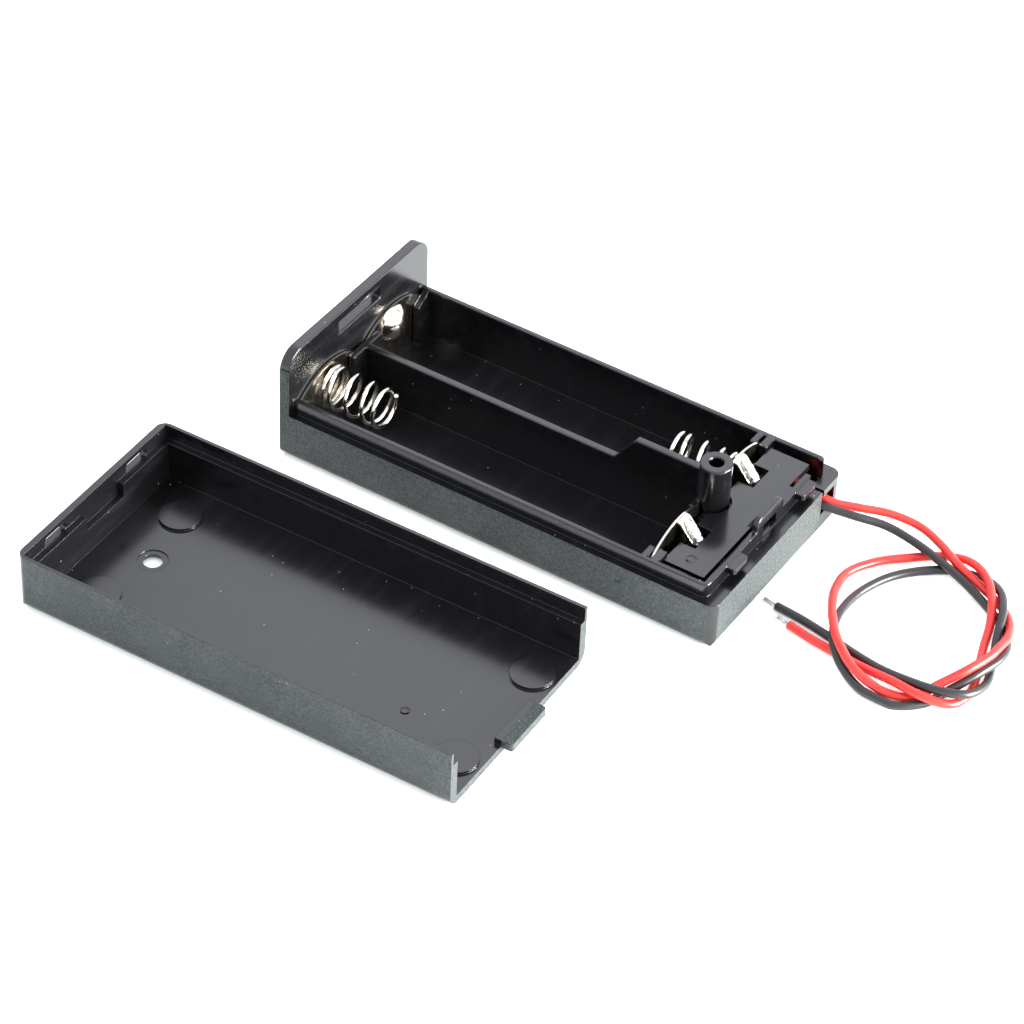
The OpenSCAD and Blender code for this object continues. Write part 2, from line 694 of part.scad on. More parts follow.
// Strip bent over the plate's top and down into the retainer's notch, drawn in (X, Z)
module tab_outline() {
    x = right_plate_x;
    t = contact_t;
    z = tab_top;
    polygon([
        [x, z - tab_root], [x, z - t], [x + tab_crest, z + tab_rise], [x + tab_shoulder, z],
        [x + tab_reach, z - tab_drop], [x + tab_reach - t, z - tab_drop - t * 0.6],
        [x + tab_shoulder - t / 3, z - t * 1.1], [x + tab_crest + t / 3, z - t],
        [x + t, z - t * 1.6], [x + t, z - tab_root]
    ]);
}

// Contact plate at the lead end, drawn for the +Y bay and mirrored to the side asked for
module lead_end_contact(side) mirror([0, side < 0 ? 1 : 0, 0]) {
    along_x(right_plate_x, right_plate_x + contact_t) lobe_outline(right_plate_in, plate_half, bay_y);
    along_y(tab_y - tab_w / 2, tab_y + tab_w / 2) tab_outline();
}

module positive_contact() color(nickel) lead_end_contact(-1);

module negative_contact() color(nickel) lead_end_contact(1);

// Solder that wraps a tab's end, without the tab itself
module tab_solder() {
    slope = tab_drop / (tab_reach - tab_shoulder);
    difference() {
        hull() {
            translate([right_plate_x + solder_start, tab_y, tab_top - slope * (solder_start - tab_shoulder)])
                sphere(solder_top_r, $fn = 24);
            translate([right_plate_x + solder_mid, tab_y, tab_top - slope * (solder_mid - tab_shoulder)])
                sphere(solder_mid_r, $fn = 24);
            translate([right_plate_x + tab_reach, tab_y, tab_top - tab_drop]) sphere(solder_r, $fn = 24);
        }
        along_y(tab_y - tab_w / 2, tab_y + tab_w / 2) tab_outline();
    }
}

module solder_positive_tab() color(solder) mirror([0, 1, 0]) difference() {
    tab_solder();
    block([ear_x, tab_y - ear_w / 2, terminal_z], [ear_x + terminal_t, tab_y + ear_w / 2, retainer_top - ear_drop]);
}

module solder_negative_tab() color(solder) {
    tab_solder();
    joint = black_joint;
    difference() {
        hull() {
            translate([right_plate_x + tab_reach, tab_y, tab_top - tab_drop]) sphere(joint_r, $fn = 24);
            translate([joint.x, joint.y - joint_r, joint.z]) sphere(joint_r, $fn = 24);
        }
        along_y(tab_y - tab_w / 2, tab_y + tab_w / 2) tab_outline();
    }
}

module solder_red_lead() color(solder) {
    joint = red_joint;
    difference() {
        hull() {
            translate([joint.x, joint.y - 2 * joint_r, joint.z]) sphere(red_joint_r, $fn = 24);
            translate([joint.x, joint.y - red_joint_r, joint.z]) sphere(red_joint_r, $fn = 24);
        }
        block([joint.x - joint_r, joint.y - 4 * joint_r, terminal_z],
              [joint.x + joint_r, joint.y + joint_r, terminal_z + terminal_t]);
    }
}

// ---------- cover ----------

// Rounded slot through the cover's end wall that snaps over a nub
module nub_slot(side) {
    along_x(-eps, cover_end_deep_t + eps) translate([side * nub_y, 0])
        plate_outline(-cover_slot_w / 2, cover_slot_w / 2, cover_step_z, cover_step_z + cover_slot_h,
                      cover_slot_r, cover_slot_r);
}

// Hook at the open end that goes into the tall wall's slot
module cover_hook() {
    top = hook_bottom + hook_t;
    block([cover_l - hook_root, -hook_w / 2, cover_floor_t - eps], [cover_l, hook_w / 2, top]);
    translate([0, 0, hook_bottom]) linear_extrude(hook_t)
        nose_outline(cover_l - hook_root, cover_l + hook_reach, hook_w / 2, hook_r);
}

// The cover with its end wall at x = 0 and its inside up
module cover_at_origin() {
    half = cover_w / 2;
    difference() {
        mirror([1, 0, 0]) moulded_blank(-cover_l, 0, cover_w, cover_h, cover_edge_r, edge_r);
        // inside, up to the rim step
        block([cover_end_deep_t, cover_wall_t - half, cover_floor_t],
              [cover_l + eps, half - cover_wall_t, cover_h + eps]);
        // rim that laps over the box's lip
        block([cover_end_t, cover_rim_t - half, cover_step_z], [cover_l + eps, half - cover_rim_t, cover_h + eps]);
        // pocket for the snap tongue
        block([cover_end_t, tongue_y - cover_pocket_w / 2, cover_pocket_z],
              [cover_end_deep_t + eps, tongue_y + cover_pocket_w / 2, cover_h + eps]);
        for (side = [-1, 1]) nub_slot(side);
        // screw hole, with the seat for the screw's head in the outer face
        translate([screw_x, 0, -eps]) cylinder(d = screw_hole_d, h = cover_floor_t + 2 * eps);
        translate([screw_x, 0, -eps]) cylinder(d = screw_seat_d, h = screw_seat_depth + eps);
        translate([screw_x, 0, cover_floor_t - screw_ring_depth])
            cylinder(d = screw_ring_d, h = screw_ring_depth + eps);
    }
    cover_hook();
    // round pads left by the ejectors
    for (side = [-1, 1], x = [pad_end_inset, cover_l - pad_inset_x])
        translate([x, side * (half - pad_inset_y), cover_floor_t - eps]) cylinder(d = pad_d, h = pad_h + eps);
}

module cover() color(moulding)
    translate([cover_x, cover_y, 0]) rotate([0, 0, cover_yaw])
    translate([0, cover_w / 2, 0]) cover_at_origin();

// ---------- leads ----------

module red_lead() color(red_pvc) bar(red_route, lead_d / 2, lead_sides);

module black_lead() color(black_pvc) bar(black_route, lead_d / 2, lead_sides);

// Tinned strands that stand out of a lead's cut end
module strands(route) {
    end = route[len(route) - 1];
    way = unit(end - route[len(route) - 2]);
    across = unit(cross([0, 0, 1], way));
    start = end + way * 0.02;
    for (k = [-1.5:1:1.5])
        bar([start + across * k * 0.25, end + way * strand_l * 0.5 + across * k * 0.25,
             end + way * strand_l + across * k * 0.35], 0.09, 6);
}

module red_lead_strands() color(solder) strands(red_route);

module black_lead_strands() color(solder) strands(black_route);

base_tray();
cover();
switch_retainer_plate();
switch_slider();
switch_bridge_contact();
switch_terminal_battery();
switch_terminal_lead();
end_bridge_contact();
end_bridge_spring();
positive_contact();
negative_contact();
negative_spring();
solder_positive_tab();
solder_negative_tab();
solder_red_lead();
red_lead();
black_lead();
red_lead_strands();
black_lead_strands();
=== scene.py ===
"""Two-cell battery box with a slide switch, its cover lying beside it, and two flying leads.

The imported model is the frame: mouldings, contact plates and switch parts keep their shape and get
their finish here. The leads, springs, solder joints and bared strands are modelled here, in metres,
where the frame says they are.
"""

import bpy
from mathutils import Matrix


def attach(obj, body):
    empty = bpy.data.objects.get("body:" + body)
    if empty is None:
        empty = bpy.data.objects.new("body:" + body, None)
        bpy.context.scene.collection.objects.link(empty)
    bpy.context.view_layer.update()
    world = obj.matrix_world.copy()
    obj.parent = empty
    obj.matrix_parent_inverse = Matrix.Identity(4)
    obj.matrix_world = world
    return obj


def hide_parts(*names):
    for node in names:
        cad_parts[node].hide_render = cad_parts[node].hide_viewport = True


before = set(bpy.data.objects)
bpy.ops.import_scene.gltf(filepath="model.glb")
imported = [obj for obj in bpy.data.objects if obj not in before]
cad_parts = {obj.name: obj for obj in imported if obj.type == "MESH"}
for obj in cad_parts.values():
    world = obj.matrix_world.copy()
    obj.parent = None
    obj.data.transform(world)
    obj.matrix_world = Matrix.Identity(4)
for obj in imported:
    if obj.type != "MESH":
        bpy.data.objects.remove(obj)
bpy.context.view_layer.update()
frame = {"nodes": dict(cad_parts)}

import logging
import math
from dataclasses import dataclass
from enum import Enum

import bpy
import numpy as np
from mathutils import Matrix, Vector

LOG = logging.getLogger("battery_box")
MM = 0.001

# centre lines of the leads in millimetres, from the solder joint to the cut end
RED_ROUTE = [
    (28.3, 9.6, 6.7), (28.3, 10.8, 6.7), (29.2, 12.2, 6.7), (31.1, 13.4, 5.9), (34.5, 13.55, 4.65),
    (38.3, 15.2, 4.1), (41.96, 17.05, 3.6), (46, 18, 2.8), (50, 16.8, 2.5), (53.9, 14.9, 2),
    (58, 13.8, 1.1), (61.9, 12.1, 0.8), (64.8, 9, 1.6), (66.3, 5, 2.6), (66.4, 0.7, 3.3),
    (65.2, -3.3, 3.2), (62.8, -6.6, 1.8), (60.3, -10, 0.6), (56.6, -11.5, 1.1), (52.5, -11, 2.1),
    (48.9, -8.9, 3.2), (46.1, -5.6, 3.3), (44, -1.9, 2.4), (42.4, 2.1, 1.5), (42, 6.3, 0.9),
    (43.7, 10.2, 0.6), (46.7, 13.4, 0.6), (50.2, 16.1, 0.8), (54.2, 16.8, 1.6), (57.9, 14.8, 2.4),
    (60.7, 11.5, 2.3), (62.6, 7.7, 1.5), (63.8, 3.6, 0.8), (65.2, -0.6, 0.7), (66.3, -4.8, 0.6),
    (65.5, -8.7, 1.2), (61.9, -10.4, 2.1), (57.6, -9.9, 1.9), (53.3, -9, 1), (49, -8.3, 0.6),
    (44.7, -7.8, 0.6), (40.5, -7, 0.6),
]
BLACK_ROUTE = [
    (26.3, 8.6, 7.15), (26.3, 9.9, 7.2), (26.8, 11.3, 6.3), (28.3, 12.3, 5), (31.1, 12.1, 4.6),
    (34.47, 12.12, 4.7), (38.6, 13.5, 3.95), (42.5, 15.3, 2.9), (46.8, 15.3, 2.3), (51.1, 14.3, 2),
    (55.3, 13.2, 1.4), (59.4, 11.6, 0.8), (63.2, 9.3, 0.6), (66.1, 6, 1), (67.1, 1.9, 2),
    (66.2, -2.3, 2.2), (64.1, -6.2, 1.1), (62.2, -10.1, 0.6), (58.9, -12.7, 0.6), (54.6, -12.6, 0.7),
    (50.6, -10.8, 1.3), (47.5, -7.8, 2), (45.7, -3.8, 1.7), (45, 0.6, 1.1), (45.4, 4.9, 0.7),
    (47, 9, 0.6), (49.8, 12.4, 0.6), (53.4, 15, 0.6), (57.6, 15.7, 0.8), (61.1, 13.4, 1.9),
    (63.3, 9.7, 2.4), (64.7, 5.6, 1.7), (66.2, 1.5, 0.7), (67.4, -2.7, 1), (66.8, -6.7, 2.1),
    (63.2, -8.8, 2.6), (58.9, -8.8, 2), (54.6, -8, 1.1), (50.3, -7, 0.7), (46, -6, 0.6),
    (41.6, -5.2, 0.6), (37.3, -4.8, 0.6),
]


class Pole(Enum):
    """The two leads, each by the name of its node."""

    POSITIVE = "red_lead"
    NEGATIVE = "black_lead"


def linear(code: str, alpha: float = 1.0) -> tuple[float, float, float, float]:
    """Turns an sRGB hex colour into the linear values that shaders take.

    Args:
        code: Six hex digits, with or without a leading hash.
        alpha: Opacity to append.

    Returns:
        Red, green, blue and alpha, linear.
    """
    raw = [int(code.lstrip("#")[i:i + 2], 16) / 255 for i in (0, 2, 4)]
    r, g, b = (c / 12.92 if c <= 0.04045 else ((c + 0.055) / 1.055) ** 2.4 for c in raw)
    return (r, g, b, alpha)


def add_node(
    tree: bpy.types.NodeTree,
    kind: str,
    settings: dict[str, object] | None = None,
    values: dict[str | int, object] | None = None,
    links: dict[str | int, bpy.types.NodeSocket] | None = None,
) -> bpy.types.Node:
    """Adds one shader node with its settings, its socket values and its incoming links.

    Args:
        tree: Node tree that gets the node.
        kind: Blender's type name of the node.
        settings: Attributes set on the node itself.
        values: Values for input sockets, by name or index.
        links: Output sockets that feed input sockets, by name or index.

    Returns:
        The new node.
    """
    node = tree.nodes.new(kind)
    for name, value in (settings or {}).items():
        setattr(node, name, value)
    for name, value in (values or {}).items():
        node.inputs[name].default_value = value
    for name, source in (links or {}).items():
        tree.links.new(source, node.inputs[name])
    return node


def set_ramp(node: bpy.types.Node, stops: list[tuple[float, tuple[float, float, float, float]]]) -> None:
    """Sets the stops of a colour ramp.

    Args:
        node: The colour ramp node.
        stops: Positions from 0 to 1 with their linear colours, in order.
    """
    elements = node.color_ramp.elements
    while len(elements) > len(stops):
        elements.remove(elements[-1])
    while len(elements) < len(stops):
        elements.new(1.0)
    for element, (place, colour) in zip(elements, stops):
        element.position = place
        element.color = colour


def new_material(name: str) -> tuple[bpy.types.Material, bpy.types.NodeTree, bpy.types.Node]:
    """Makes an empty node material with its output.

    Args:
        name: Name of the material.

    Returns:
        The material, its node tree and its output node.
    """
    material = bpy.data.materials.new(name)
    material.use_nodes = True
    material.node_tree.nodes.clear()
    output = material.node_tree.nodes.new("ShaderNodeOutputMaterial")
    return material, material.node_tree, output


def object_place(tree: bpy.types.NodeTree) -> bpy.types.NodeSocket:
    """Returns the socket that gives a point's place on the object, in metres."""
    return add_node(tree, "ShaderNodeTexCoord").outputs["Object"]


def noise(tree: bpy.types.NodeTree, place: bpy.types.NodeSocket, size_mm: float, detail: float,
          stretch: tuple[float, float, float] | None = None, turn: float = 0.0) -> bpy.types.NodeSocket:
    """Adds a noise pattern of a real size.

    Args:
        tree: Node tree that gets the nodes.
        place: Socket that gives the place.
        size_mm: Size of one feature in millimetres.
        detail: Octaves of finer detail.
        stretch: How many times faster the pattern changes along each axis, or None for the same.
        turn: Turn of the stretched pattern round Z in radians.

    Returns:
        The pattern's value socket.
    """
    if stretch is not None:
        place = add_node(tree, "ShaderNodeMapping",
                         values={"Scale": stretch, "Rotation": (0.0, 0.0, turn)},
                         links={"Vector": place}).outputs["Vector"]
    return add_node(tree, "ShaderNodeTexNoise",
                    values={"Scale": 1 / (size_mm * MM), "Detail": detail, "Roughness": 0.6},
                    links={"Vector": place}).outputs["Fac"]


@dataclass(frozen=True)
class Mark:
    """One small round mark of the mould.

    Its centre, its radius, how deep it sinks (below zero where it stands up), and the share of the
    radius that its flat middle takes.
    """

    place_mm: tuple[float, float, float]
    radius_mm: float
    depth_mm: float
    flat_share: float = 0.45


@dataclass(frozen=True)
class MouldedPlastic:
    """Injection-moulded black ABS.

    The mould is polished inside, which gives deep black with clear reflections, and spark-eroded
    outside, which gives a grey, finely grained sheen. What is grained lies outside a box round the
    moulding's inner faces, given by its centre, half sizes and turn.
    """

    name: str
    centre_mm: tuple[float, float, float] = (0.0, 0.0, 0.0)
    half_mm: tuple[float, float, float] = (900.0, 900.0, 900.0)
    turn_deg: float = 0.0
    marks: tuple[Mark, ...] = ()
    inner: str = "#09090a"
    rubbed: str = "#141416"
    # the grained outside's two greys; the grey is the grained finish, their green tint is painted reflection
    # of the pale floor
    outer_low: str = "#0c0f0f"
    outer: str = "#303937"
    inner_gloss: float = 0.2
    outer_gloss: float = 0.52
    # the melt's cloudy tone
    cloud_mm: float = 5.0
    # grain that the spark-eroded mould leaves, drawn a little coarser than real so that it shows
    grain_mm: float = 0.3
    grain_depth_mm: float = 0.22
    grain_strength: float = 0.55
    inner_grain: float = 0.012
    # wider pits between the grains
    pit_mm: float = 0.78
    pit_weight: float = 0.7
    # rubbing marks of handling: long, thin and faint
    scuff_mm: float = 1.6
    scuff_stretch: tuple[float, float, float] = (1.0, 0.12, 1.0)
    scuff_turn: float = 0.6
    # a few grains of pale dust
    dust: str = "#8f8f8c"
    dust_spacing_mm: float = 2.2
    dust_share: float = 0.034
    # parting line of the mould's halves, from its bottom to its brim
    seam_x_mm: float | None = None
    seam_from_mm: float = 0.05
    seam_to_mm: float = 0.18
    seam_depth_mm: float = 0.08
    # rounding of the edges, which is wider above a given height
    edge_mm: float = 0.12
    soft_edge_mm: float = 0.5
    soft_above_mm: float | None = None
    soft_band_mm: float = 0.2

    def outside(self, tree: bpy.types.NodeTree, place: bpy.types.NodeSocket) -> bpy.types.NodeSocket:
        """Adds the mask of the grained outside.

        Args:
            tree: Node tree that gets the nodes.
            place: Socket that gives the place.

        Returns:
            A socket that is 1 outside the box of the moulding's inner faces, else 0.
        """
        turn = math.radians(-self.turn_deg)
        shift = -(Matrix.Rotation(turn, 3, "Z") @ Vector(self.centre_mm)) * MM
        local = add_node(tree, "ShaderNodeMapping",
                         values={"Rotation": (0.0, 0.0, turn), "Location": shift},
                         links={"Vector": place})
        share = add_node(tree, "ShaderNodeVectorMath", settings={"operation": "MULTIPLY"},
                         values={1: tuple(1 / (h * MM) for h in self.half_mm)},
                         links={0: local.outputs["Vector"]})
        size = add_node(tree, "ShaderNodeVectorMath", settings={"operation": "ABSOLUTE"},
                        links={0: share.outputs["Vector"]})
        axes = add_node(tree, "ShaderNodeSeparateXYZ", links={"Vector": size.outputs["Vector"]})
        flat = add_node(tree, "ShaderNodeMath", settings={"operation": "MAXIMUM"},
                        links={0: axes.outputs["X"], 1: axes.outputs["Y"]})
        most = add_node(tree, "ShaderNodeMath", settings={"operation": "MAXIMUM"},
                        links={0: flat.outputs["Value"], 1: axes.outputs["Z"]})
        mask = add_node(tree, "ShaderNodeMath", settings={"operation": "GREATER_THAN"},
                        values={1: 1.0}, links={0: most.outputs["Value"]})
        return mask.outputs["Value"]

    def add_tone(self, tree: bpy.types.NodeTree, place: bpy.types.NodeSocket, mask: bpy.types.NodeSocket,
                 grain: bpy.types.NodeSocket, scuffs: bpy.types.NodeSocket) -> bpy.types.NodeSocket:
        """Adds the colour: clouded where it is rubbed inside, speckled by the grain outside, dusty.

        Args:
            tree: Node tree that gets the nodes.
            place: Socket that gives the place.
            mask: Socket that is 1 outside.
            grain: Pattern of the grain.
            scuffs: Pattern of the rubbing marks.

        Returns:
            The colour's socket.
        """
        polished = add_node(tree, "ShaderNodeValToRGB", links={"Fac": scuffs})
        set_ramp(polished, [(0.5, linear(self.inner)), (0.72, linear(self.rubbed))])
        # outside: grain speckle between two greys whose green tint is painted reflection of the pale floor
        grained = add_node(tree, "ShaderNodeValToRGB", links={"Fac": grain})
        set_ramp(grained, [(0.4, linear(self.outer_low)), (0.63, linear(self.outer))])
        tone = add_node(tree, "ShaderNodeMix", settings={"data_type": "RGBA"},
                        links={"Factor": mask, 6: polished.outputs["Color"], 7: grained.outputs["Color"]})
        cells = add_node(tree, "ShaderNodeTexVoronoi",
                         values={"Scale": 1 / (self.dust_spacing_mm * MM), "Randomness": 1.0},
                         links={"Vector": place})
        near = add_node(tree, "ShaderNodeMath", settings={"operation": "LESS_THAN"},
                        values={1: self.dust_share}, links={0: cells.outputs["Distance"]})
        dusty = add_node(tree, "ShaderNodeMix", settings={"data_type": "RGBA"},
                         values={7: linear(self.dust)},
                         links={"Factor": near.outputs["Value"], 6: tone.outputs[2]})
        return dusty.outputs[2]

    def add_gloss(self, tree: bpy.types.NodeTree, place: bpy.types.NodeSocket, mask: bpy.types.NodeSocket,
                  scuffs: bpy.types.NodeSocket) -> bpy.types.NodeSocket:
        """Adds the roughness: duller where it is rubbed inside, uneven with the melt outside.

        Args:
            tree: Node tree that gets the nodes.
            place: Socket that gives the place.
            mask: Socket that is 1 outside.
            scuffs: Pattern of the rubbing marks.

        Returns:
            The roughness' socket.
        """
        cloud = noise(tree, place, self.cloud_mm, detail=5.0)
        inner = add_node(tree, "ShaderNodeMapRange", values={
            "From Min": 0.35, "From Max": 0.7,
            "To Min": self.inner_gloss - 0.01, "To Max": self.inner_gloss + 0.02},
            links={"Value": scuffs})
        outer = add_node(tree, "ShaderNodeMapRange", values={
            "From Min": 0.3, "From Max": 0.7,
            "To Min": self.outer_gloss - 0.08, "To Max": self.outer_gloss + 0.1},
            links={"Value": cloud})
        return add_node(tree, "ShaderNodeMix", links={
            "Factor": mask, "A": inner.outputs["Result"], "B": outer.outputs["Result"]}).outputs["Result"]

    def add_edges(self, tree: bpy.types.NodeTree, place: bpy.types.NodeSocket) -> bpy.types.NodeSocket:
        """Adds the rounding of the edges.

        Args:
            tree: Node tree that gets the nodes.
            place: Socket that gives the place.

        Returns:
            The surface direction with rounded edges.
        """
        edge = add_node(tree, "ShaderNodeBevel", settings={"samples": 6},
                        values={"Radius": self.edge_mm * MM})
        if self.soft_above_mm is not None:
            axes = add_node(tree, "ShaderNodeSeparateXYZ", links={"Vector": place})
            soft = add_node(tree, "ShaderNodeMapRange", values={
                "From Min": self.soft_above_mm * MM,
                "From Max": (self.soft_above_mm + self.soft_band_mm) * MM,
                "To Min": self.edge_mm * MM, "To Max": self.soft_edge_mm * MM},
                links={"Value": axes.outputs["Z"]})
            tree.links.new(soft.outputs["Result"], edge.inputs["Radius"])
        return edge.outputs["Normal"]

    def add_relief(self, tree: bpy.types.NodeTree, place: bpy.types.NodeSocket, mask: bpy.types.NodeSocket,
                   grain: bpy.types.NodeSocket) -> bpy.types.NodeSocket:
        """Adds the grain's relief, which is all but gone inside.

        Args:
            tree: Node tree that gets the nodes.
            place: Socket that gives the place.
            mask: Socket that is 1 outside.
            grain: Pattern of the grain.

        Returns:
            The surface direction with the relief.
        """
        pits = noise(tree, place, self.pit_mm, detail=1.0)
        faint = add_node(tree, "ShaderNodeMath", settings={"operation": "MULTIPLY"},
                         values={1: self.inner_grain}, links={0: grain})
        rough = add_node(tree, "ShaderNodeMath", settings={"operation": "MULTIPLY_ADD"},
                         values={1: self.pit_weight}, links={0: pits, 2: grain})
        height = add_node(tree, "ShaderNodeMix", links={
            "Factor": mask, "A": faint.outputs["Value"], "B": rough.outputs["Value"]})
        bump = add_node(tree, "ShaderNodeBump",
                        values={"Strength": self.grain_strength, "Distance": self.grain_depth_mm * MM},
                        links={"Height": height.outputs["Result"], "Normal": self.add_edges(tree, place)})
        return bump.outputs["Normal"]

    def add_marks(self, tree: bpy.types.NodeTree, place: bpy.types.NodeSocket,
                  normal: bpy.types.NodeSocket) -> bpy.types.NodeSocket:
        """Adds the small round marks.

        Args:
            tree: Node tree that gets the nodes.
            place: Socket that gives the place.
            normal: The surface direction so far.

        Returns:
            The surface direction with the marks.
        """
        for mark in self.marks:
            away = add_node(tree, "ShaderNodeVectorMath", settings={"operation": "DISTANCE"},
                            values={1: tuple(c * MM for c in mark.place_mm)}, links={0: place})
            bowl = add_node(tree, "ShaderNodeMapRange", settings={"interpolation_type": "SMOOTHSTEP"},
                            values={"From Min": mark.radius_mm * mark.flat_share * MM,
                                    "From Max": mark.radius_mm * MM},
                            links={"Value": away.outputs["Value"]})
            dent = add_node(tree, "ShaderNodeBump", values={"Strength": 1.0, "Distance": mark.depth_mm * MM},
                            links={"Height": bowl.outputs["Result"], "Normal": normal})
            normal = dent.outputs["Normal"]
        return normal

    def add_seam(self, tree: bpy.types.NodeTree, place: bpy.types.NodeSocket, mask: bpy.types.NodeSocket,
                 normal: bpy.types.NodeSocket) -> bpy.types.NodeSocket:
        """Adds the parting line that the mould leaves on the outside, where there is one.

        Args:
            tree: Node tree that gets the nodes.
            place: Socket that gives the place.
            mask: Socket that is 1 outside.
            normal: The surface direction so far.

        Returns:
            The surface direction with the parting line.
        """
        if self.seam_x_mm is None:
            return normal
        axes = add_node(tree, "ShaderNodeSeparateXYZ", links={"Vector": place})
        off = add_node(tree, "ShaderNodeMath", settings={"operation": "SUBTRACT"},
                       values={1: self.seam_x_mm * MM}, links={0: axes.outputs["X"]})
        away = add_node(tree, "ShaderNodeMath", settings={"operation": "ABSOLUTE"},
                        links={0: off.outputs["Value"]})
        groove = add_node(tree, "ShaderNodeMapRange",
                          values={"From Min": self.seam_from_mm * MM, "From Max": self.seam_to_mm * MM},
                          links={"Value": away.outputs["Value"]})
        depth = add_node(tree, "ShaderNodeMath", settings={"operation": "MULTIPLY"},
                         links={0: groove.outputs["Result"], 1: mask})
        seam = add_node(tree, "ShaderNodeBump",
                        values={"Strength": 1.0, "Distance": self.seam_depth_mm * MM},
                        links={"Height": depth.outputs["Value"], "Normal": normal})
        return seam.outputs["Normal"]

    def build(self) -> bpy.types.Material:
        """Builds the material.

        Returns:
            The finished material.
        """
        material, tree, output = new_material(self.name)
        place = object_place(tree)
        mask = self.outside(tree, place)
        grain = noise(tree, place, self.grain_mm, detail=2.0)
        scuffs = noise(tree, place, self.scuff_mm, detail=5.0, stretch=self.scuff_stretch,
                       turn=self.scuff_turn)
        normal = self.add_relief(tree, place, mask, grain)
        normal = self.add_marks(tree, place, normal)
        normal = self.add_seam(tree, place, mask, normal)
        shader = add_node(tree, "ShaderNodeBsdfPrincipled", values={"IOR": 1.54}, links={
            "Base Color": self.add_tone(tree, place, mask, grain, scuffs),
            "Roughness": self.add_gloss(tree, place, mask, scuffs),
            "Normal": normal})
        tree.links.new(shader.outputs["BSDF"], output.inputs["Surface"])
        return material


@dataclass(frozen=True)
class NickelStrip:
    """Nickel-plated spring steel, rolled or drawn: warm bright metal with faint lines and dull spots."""

    name: str
    colour: str = "#d3ccbe"
    roughness: float = 0.13
    tarnish: str = "#b3a68f"
    line_mm: float = 0.12
    line_depth_mm: float = 0.004
    line_stretch: tuple[float, float, float] = (1.0, 0.06, 1.0)
    blotch_mm: float = 1.3

    def build(self) -> bpy.types.Material:
        """Builds the material.

        Returns:
            The finished material.
        """
        material, tree, output = new_material(self.name)
        place = object_place(tree)
        # rolling lines run along Y, so the pattern is stretched that way
        lines = noise(tree, place, self.line_mm, detail=4.0, stretch=self.line_stretch)
        blotch = noise(tree, place, self.blotch_mm, detail=4.0)
        tone = add_node(tree, "ShaderNodeValToRGB", links={"Fac": blotch})
        set_ramp(tone, [(0.3, linear(self.tarnish)), (0.42, linear(self.colour)), (1.0, linear(self.colour))])
        gloss = add_node(tree, "ShaderNodeMapRange", values={
            "From Min": 0.3, "From Max": 0.7,
            "To Min": self.roughness + 0.06, "To Max": self.roughness - 0.02},
            links={"Value": blotch})
        bump = add_node(tree, "ShaderNodeBump",
                        values={"Strength": 0.25, "Distance": self.line_depth_mm * MM},
                        links={"Height": lines})
        shader = add_node(tree, "ShaderNodeBsdfPrincipled", values={"Metallic": 1.0},
                          links={"Base Color": tone.outputs["Color"], "Roughness": gloss.outputs["Result"],
                                 "Normal": bump.outputs["Normal"]})
        tree.links.new(shader.outputs["BSDF"], output.inputs["Surface"])
        return material


@dataclass(frozen=True)
class Solder:
    """Hand-soldered tin: bright and lumpy, frosted where it cooled slowly."""

    name: str
    colour: str = "#f4f3f0"
    frost: str = "#c9c8c6"
    lump_mm: float = 0.6
    frost_mm: float = 0.22
    frost_depth_mm: float = 0.06

    def build(self) -> bpy.types.Material:
        """Builds the material.

        Returns:
            The finished material.
        """
        material, tree, output = new_material(self.name)
        place = object_place(tree)
        lumps = noise(tree, place, self.lump_mm, detail=4.0)
        frost = noise(tree, place, self.frost_mm, detail=3.0)
        tone = add_node(tree, "ShaderNodeValToRGB", links={"Fac": lumps})
        set_ramp(tone, [(0.38, linear(self.frost)), (0.56, linear(self.colour))])
        gloss = add_node(tree, "ShaderNodeMapRange", values={
            "From Min": 0.35, "From Max": 0.65, "To Min": 0.42, "To Max": 0.18}, links={"Value": lumps})
        bump = add_node(tree, "ShaderNodeBump",
                        values={"Strength": 0.5, "Distance": self.frost_depth_mm * MM},
                        links={"Height": frost})
        shader = add_node(tree, "ShaderNodeBsdfPrincipled", values={"Metallic": 1.0},
                          links={"Base Color": tone.outputs["Color"], "Roughness": gloss.outputs["Result"],
                                 "Normal": bump.outputs["Normal"]})
        tree.links.new(shader.outputs["BSDF"], output.inputs["Surface"])
        return material


@dataclass(frozen=True)
class LeadSheath:
    """Soft extruded PVC insulation: smooth and a little waxy, with faint draw marks."""

    name: str
    colour: str
    shade: str
    roughness: float = 0.36
    cloud_mm: float = 3.5
    skin_mm: float = 0.35
    skin_depth_mm: float = 0.02

    def build(self) -> bpy.types.Material:
        """Builds the material.

        Returns:
            The finished material.
        """
        material, tree, output = new_material(self.name)
        place = object_place(tree)
        cloud = noise(tree, place, self.cloud_mm, detail=3.0)
        tone = add_node(tree, "ShaderNodeValToRGB", links={"Fac": cloud})
        set_ramp(tone, [(0.3, linear(self.shade)), (0.7, linear(self.colour))])
        gloss = add_node(tree, "ShaderNodeMapRange", values={
            "From Min": 0.3, "From Max": 0.7,
            "To Min": self.roughness - 0.05, "To Max": self.roughness + 0.08},
            links={"Value": cloud})
        skin = noise(tree, place, self.skin_mm, detail=2.0)
        bump = add_node(tree, "ShaderNodeBump", values={"Strength": 0.2, "Distance": self.skin_depth_mm * MM},
                        links={"Height": skin})
        shader = add_node(tree, "ShaderNodeBsdfPrincipled", values={"IOR": 1.53},
                          links={"Base Color": tone.outputs["Color"], "Roughness": gloss.outputs["Result"],
                                 "Normal": bump.outputs["Normal"]})
        tree.links.new(shader.outputs["BSDF"], output.inputs["Surface"])
        return material


def clear_selection() -> None:
    """Leaves object mode with nothing selected."""
    if bpy.context.object and bpy.context.object.mode != "OBJECT":
        bpy.ops.object.mode_set(mode="OBJECT")
    bpy.ops.object.select_all(action="DESELECT")


